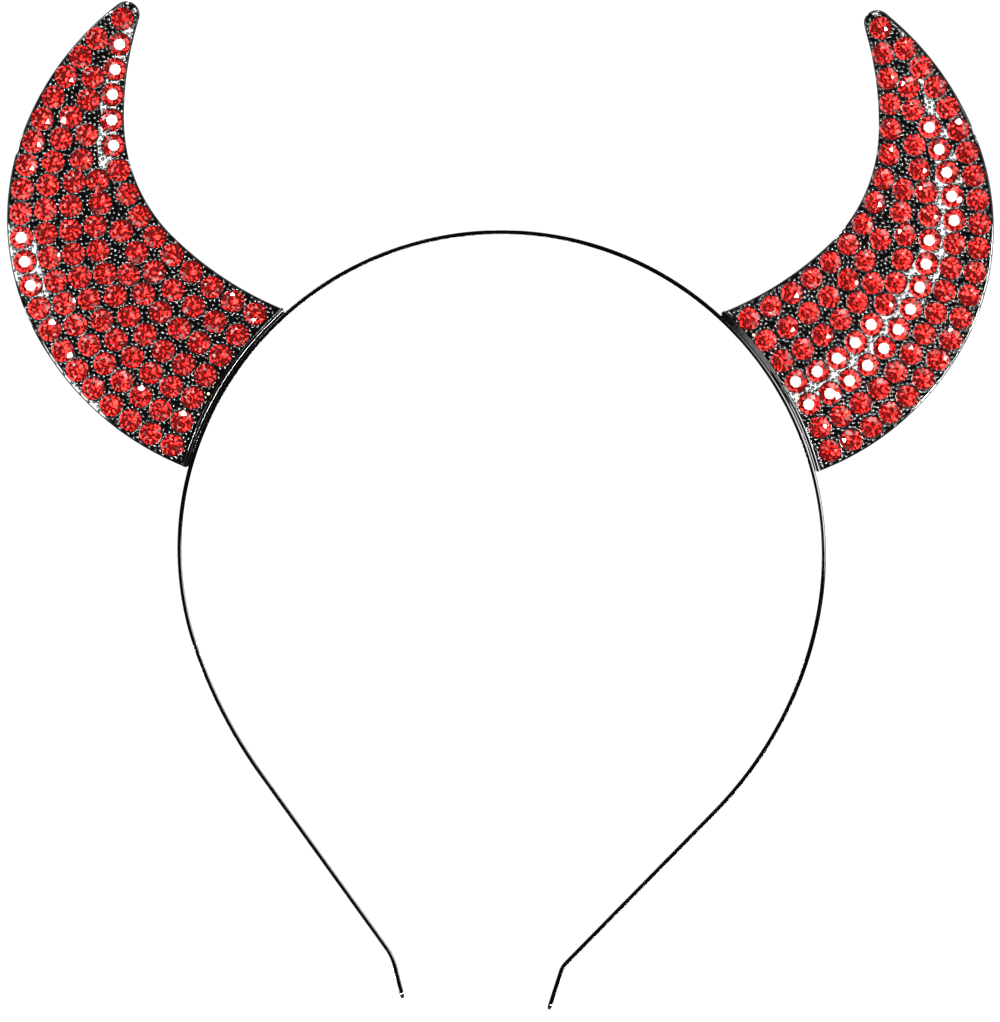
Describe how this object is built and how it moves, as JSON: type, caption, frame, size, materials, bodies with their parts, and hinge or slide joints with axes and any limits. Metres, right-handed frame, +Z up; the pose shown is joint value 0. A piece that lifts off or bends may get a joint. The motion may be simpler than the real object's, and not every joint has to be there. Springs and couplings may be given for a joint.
{
  "type": "devil horns headband",
  "caption": "Headband of flat spring strip with two curved crescent horns, each a domed cast setting filled with red faceted stones, lying on its back.",
  "frame": {"origin": "on the surface that the headband lies on, under the middle of its bounding box", "axes": "+Z up from the surface, out of the stones' side of the horns; +Y from the tips of the legs to the crown; +X from the left horn to the right one as seen from above"},
  "size_m": [0.191, 0.195, 0.0175],
  "materials": {
    "black_plated_metal": "glossy black plating, on the steel strip and on the cast settings of the horns",
    "red_stone": "clear red faceted glass stones with a foiled back, set close in a black casting"
  },
  "bodies": {
    "root": {"headband": "black_plated_metal", "horn_left": "red_stone", "horn_right": "red_stone"}
  },
  "joints": []
}
